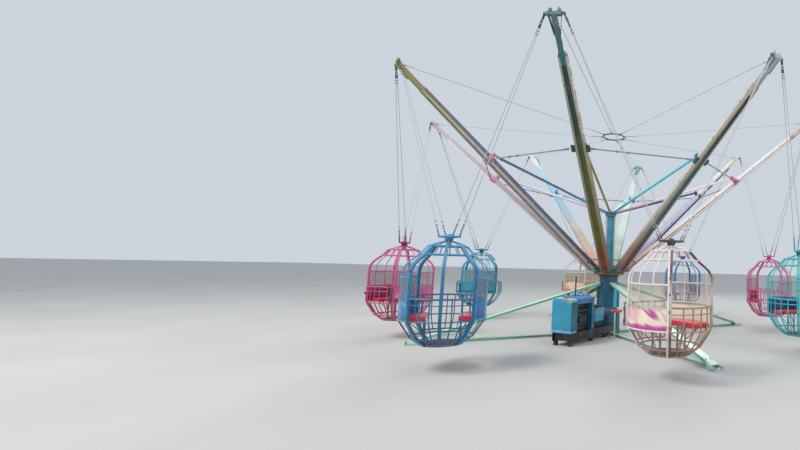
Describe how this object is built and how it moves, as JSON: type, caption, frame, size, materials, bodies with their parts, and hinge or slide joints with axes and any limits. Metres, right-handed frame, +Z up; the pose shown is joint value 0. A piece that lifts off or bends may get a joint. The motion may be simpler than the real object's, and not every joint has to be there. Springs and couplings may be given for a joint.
{
  "type": "cage swing ride",
  "caption": "Fairground ride: a turning head with raised arms on a braced column, from whose tips round barred cages hang on pairs of cables.",
  "frame": {"origin": "centre of the column's foot on the ground", "axes": "+Z up; arm 1 points along -Y and the arms' numbers grow towards +X"},
  "size_m": [9.928, 9.928, 5.41],
  "materials": {
    "column_paint": "satin",
    "mint_paint": "satin",
    "engine_blue": "satin",
    "engine_sky": "satin",
    "engine_dark": "rough",
    "hub_olive": "satin",
    "mast_sky": "satin",
    "strut_paint": "satin",
    "cable_steel": "worn",
    "seat_red": "gloss",
    "lever_red": "satin",
    "cage_acrylic": "worn clear sheet",
    "panel_cream": "gloss",
    "arm_1_paint": "weathered satin",
    "arm_2_paint": "weathered satin",
    "arm_3_paint": "weathered satin",
    "arm_4_paint": "weathered satin",
    "arm_5_paint": "weathered satin",
    "arm_6_paint": "weathered satin",
    "arm_7_paint": "weathered satin",
    "arm_8_paint": "weathered satin",
    "cage_1_paint": "weathered gloss",
    "cage_2_paint": "weathered gloss",
    "cage_3_paint": "weathered gloss",
    "cage_4_paint": "weathered gloss",
    "cage_5_paint": "weathered gloss",
    "cage_6_paint": "weathered gloss",
    "cage_7_paint": "weathered gloss",
    "cage_8_paint": "weathered gloss"
  },
  "bodies": {
    "base": {"column": "column_paint", "leg_1": "mint_paint", "leg_2": "mint_paint", "leg_3": "mint_paint", "leg_4": "mint_paint", "radiator_housing": "engine_blue", "engine_hood": "engine_sky", "engine_block": "engine_dark", "engine_rear_frame": "engine_blue", "gearbox": "engine_sky", "engine_skid": "engine_dark", "exhaust_pipe": "engine_dark", "control_lever": "lever_red"},
    "rotor": {"hub": "hub_olive", "mast": "mast_sky", "strut_star": "strut_paint", "stay_star": "cable_steel", "arm_1": "arm_1_paint", "arm_2": "arm_2_paint", "arm_3": "arm_3_paint", "arm_4": "arm_4_paint", "arm_5": "arm_5_paint", "arm_6": "arm_6_paint", "arm_7": "arm_7_paint", "arm_8": "arm_8_paint"},
    "cage_1": {"cage_1_frame": "cage_1_paint", "cage_1_seats": "seat_red", "cage_1_hanger": "cable_steel"},
    "gate_1": {"cage_1_gate": "cage_1_paint"},
    "cage_2": {"cage_2_frame": "cage_2_paint", "cage_2_seats": "seat_red", "cage_2_hanger": "cable_steel"},
    "gate_2": {"cage_2_gate": "cage_2_paint"},
    "cage_3": {"cage_3_frame": "cage_3_paint", "cage_3_seats": "seat_red", "cage_3_hanger": "cable_steel"},
    "gate_3": {"cage_3_gate": "cage_3_paint"},
    "cage_4": {"cage_4_frame": "cage_4_paint", "cage_4_seats": "seat_red", "cage_4_hanger": "cable_steel"},
    "gate_4": {"cage_4_gate": "cage_4_paint"},
    "cage_5": {"cage_5_frame": "cage_5_paint", "cage_5_seats": "seat_red", "cage_5_hanger": "cable_steel"},
    "gate_5": {"cage_5_gate": "cage_5_paint"},
    "cage_6": {"cage_6_frame": "cage_6_paint", "cage_6_seats": "seat_red", "cage_6_hanger": "cable_steel"},
    "gate_6": {"cage_6_gate": "cage_6_paint"},
    "cage_7": {"cage_7_frame": "cage_7_paint", "cage_7_seats": "seat_red", "cage_7_hanger": "cable_steel"},
    "gate_7": {"cage_7_gate": "cage_7_paint"},
    "cage_8": {"cage_8_frame": "cage_8_paint", "cage_8_seats": "seat_red", "cage_8_hanger": "cable_steel"},
    "gate_8": {"cage_8_gate": "cage_8_paint"}
  },
  "joints": [
    {"name": "rotor_spin", "type": "hinge", "parent": "base", "child": "rotor", "pos_m": [0, 0, 1.44], "axis": [0, 0, 1], "continuous": true},
    {"name": "cage_1_swing", "type": "hinge", "parent": "rotor", "child": "cage_1", "pos_m": [1.76428, -4.25934, 5.328], "axis": [-0.9239, -0.3827, 0], "range_deg": [-10, 40]},
    {"name": "gate_1_hinge", "type": "hinge", "parent": "cage_1", "child": "gate_1", "pos_m": [1.08388, -4.26503, 0.92], "axis": [0, 0, 1], "range_deg": [0, 100]},
    {"name": "cage_2_swing", "type": "hinge", "parent": "rotor", "child": "cage_2", "pos_m": [4.25934, -1.76428, 5.328], "axis": [-0.3827, -0.9239, 0], "range_deg": [-10, 40]},
    {"name": "gate_2_hinge", "type": "hinge", "parent": "cage_2", "child": "gate_2", "pos_m": [4.46419, -1.11542, 0.92], "axis": [0, 0, 1], "range_deg": [0, 100]},
    {"name": "cage_3_swing", "type": "hinge", "parent": "rotor", "child": "cage_3", "pos_m": [4.25934, 1.76428, 5.328], "axis": [0.3827, -0.9239, 0], "range_deg": [-10, 40]},
    {"name": "gate_3_hinge", "type": "hinge", "parent": "cage_3", "child": "gate_3", "pos_m": [4.02129, 2.4017, 0.92], "axis": [0, 0, 1], "range_deg": [0, 100]},
    {"name": "cage_4_swing", "type": "hinge", "parent": "rotor", "child": "cage_4", "pos_m": [1.76428, 4.25934, 5.328], "axis": [0.9239, -0.3827, 0], "range_deg": [-10, 40]},
    {"name": "gate_4_hinge", "type": "hinge", "parent": "cage_4", "child": "gate_4", "pos_m": [1.14522, 4.54174, 0.92], "axis": [0, 0, 1], "range_deg": [0, 100]},
    {"name": "cage_5_swing", "type": "hinge", "parent": "rotor", "child": "cage_5", "pos_m": [-1.76428, 4.25934, 5.328], "axis": [0.9239, 0.3827, 0], "range_deg": [-10, 40]},
    {"name": "gate_5_hinge", "type": "hinge", "parent": "cage_5", "child": "gate_5", "pos_m": [-2.4017, 4.02129, 0.92], "axis": [0, 0, 1], "range_deg": [0, 100]},
    {"name": "cage_6_swing", "type": "hinge", "parent": "rotor", "child": "cage_6", "pos_m": [-4.25934, 1.76428, 5.328], "axis": [0.3827, 0.9239, 0], "range_deg": [-10, 40]},
    {"name": "gate_6_hinge", "type": "hinge", "parent": "cage_6", "child": "gate_6", "pos_m": [-4.54174, 1.14522, 0.92], "axis": [0, 0, 1], "range_deg": [0, 100]},
    {"name": "cage_7_swing", "type": "hinge", "parent": "rotor", "child": "cage_7", "pos_m": [-4.25934, -1.76428, 5.328], "axis": [-0.3827, 0.9239, 0], "range_deg": [-10, 40]},
    {"name": "gate_7_hinge", "type": "hinge", "parent": "cage_7", "child": "gate_7", "pos_m": [-4.02129, -2.4017, 0.92], "axis": [0, 0, 1], "range_deg": [0, 100]},
    {"name": "cage_8_swing", "type": "hinge", "parent": "rotor", "child": "cage_8", "pos_m": [-1.76428, -4.25934, 5.328], "axis": [-0.9239, 0.3827, 0], "range_deg": [-10, 40]},
    {"name": "gate_8_hinge", "type": "hinge", "parent": "cage_8", "child": "gate_8", "pos_m": [-2.40152, -4.02082, 0.92], "axis": [0, 0, 1], "range_deg": [0, 100]}
  ]
}
